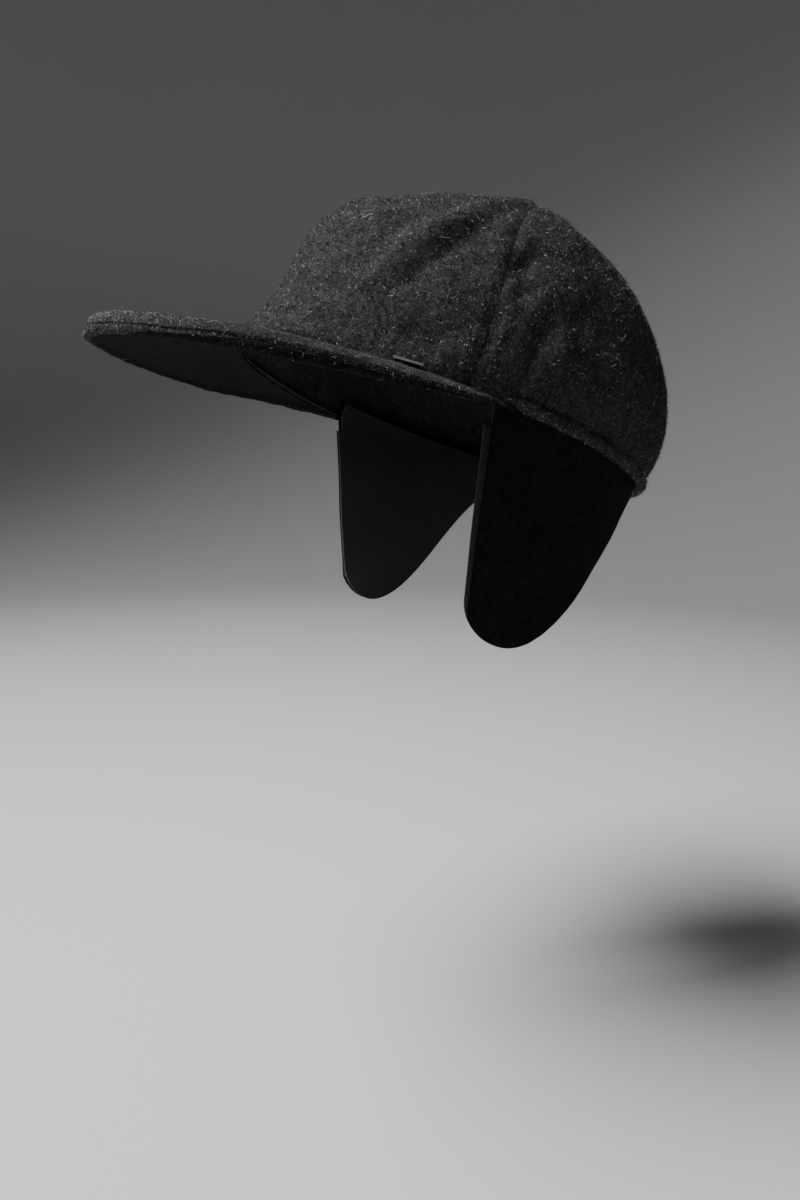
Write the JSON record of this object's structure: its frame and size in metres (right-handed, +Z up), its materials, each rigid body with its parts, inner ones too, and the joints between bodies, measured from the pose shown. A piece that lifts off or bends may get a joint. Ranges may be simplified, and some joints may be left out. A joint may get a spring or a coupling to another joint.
{
  "type": "wool cap with ear flaps",
  "caption": "Rounded charcoal wool cap with a flat padded peak, a rolled hem and long black ear flaps that hang down at the sides.",
  "frame": {"origin": "centre of the head opening, in the plane of the rim where the cap sits on the head", "axes": "+Z straight up as worn, with the rim tilted up in front by 18.6 degrees; -Y to the front, along the way the peak points; +X to the wearer's left"},
  "size_m": [0.1865, 0.2948, 0.2169],
  "materials": {
    "crown_wool": "milled charcoal wool with pale hairs",
    "flap_wool": "matt black wool",
    "flap_twill": "dark ribbed twill",
    "tab_metal": "plain satin"
  },
  "bodies": {
    "root": {"crown_front": "crown_wool", "crown_side_left": "crown_wool", "crown_side_right": "crown_wool", "crown_back_left": "crown_wool", "crown_back_right": "crown_wool", "crown_hem": "crown_wool", "peak_top": "crown_wool", "peak_under": "crown_wool", "tab": "tab_metal", "ear_flap_left": "flap_wool", "ear_flap_right": "flap_wool", "ear_flap_lining_left": "flap_twill", "ear_flap_lining_right": "flap_twill"}
  },
  "joints": []
}
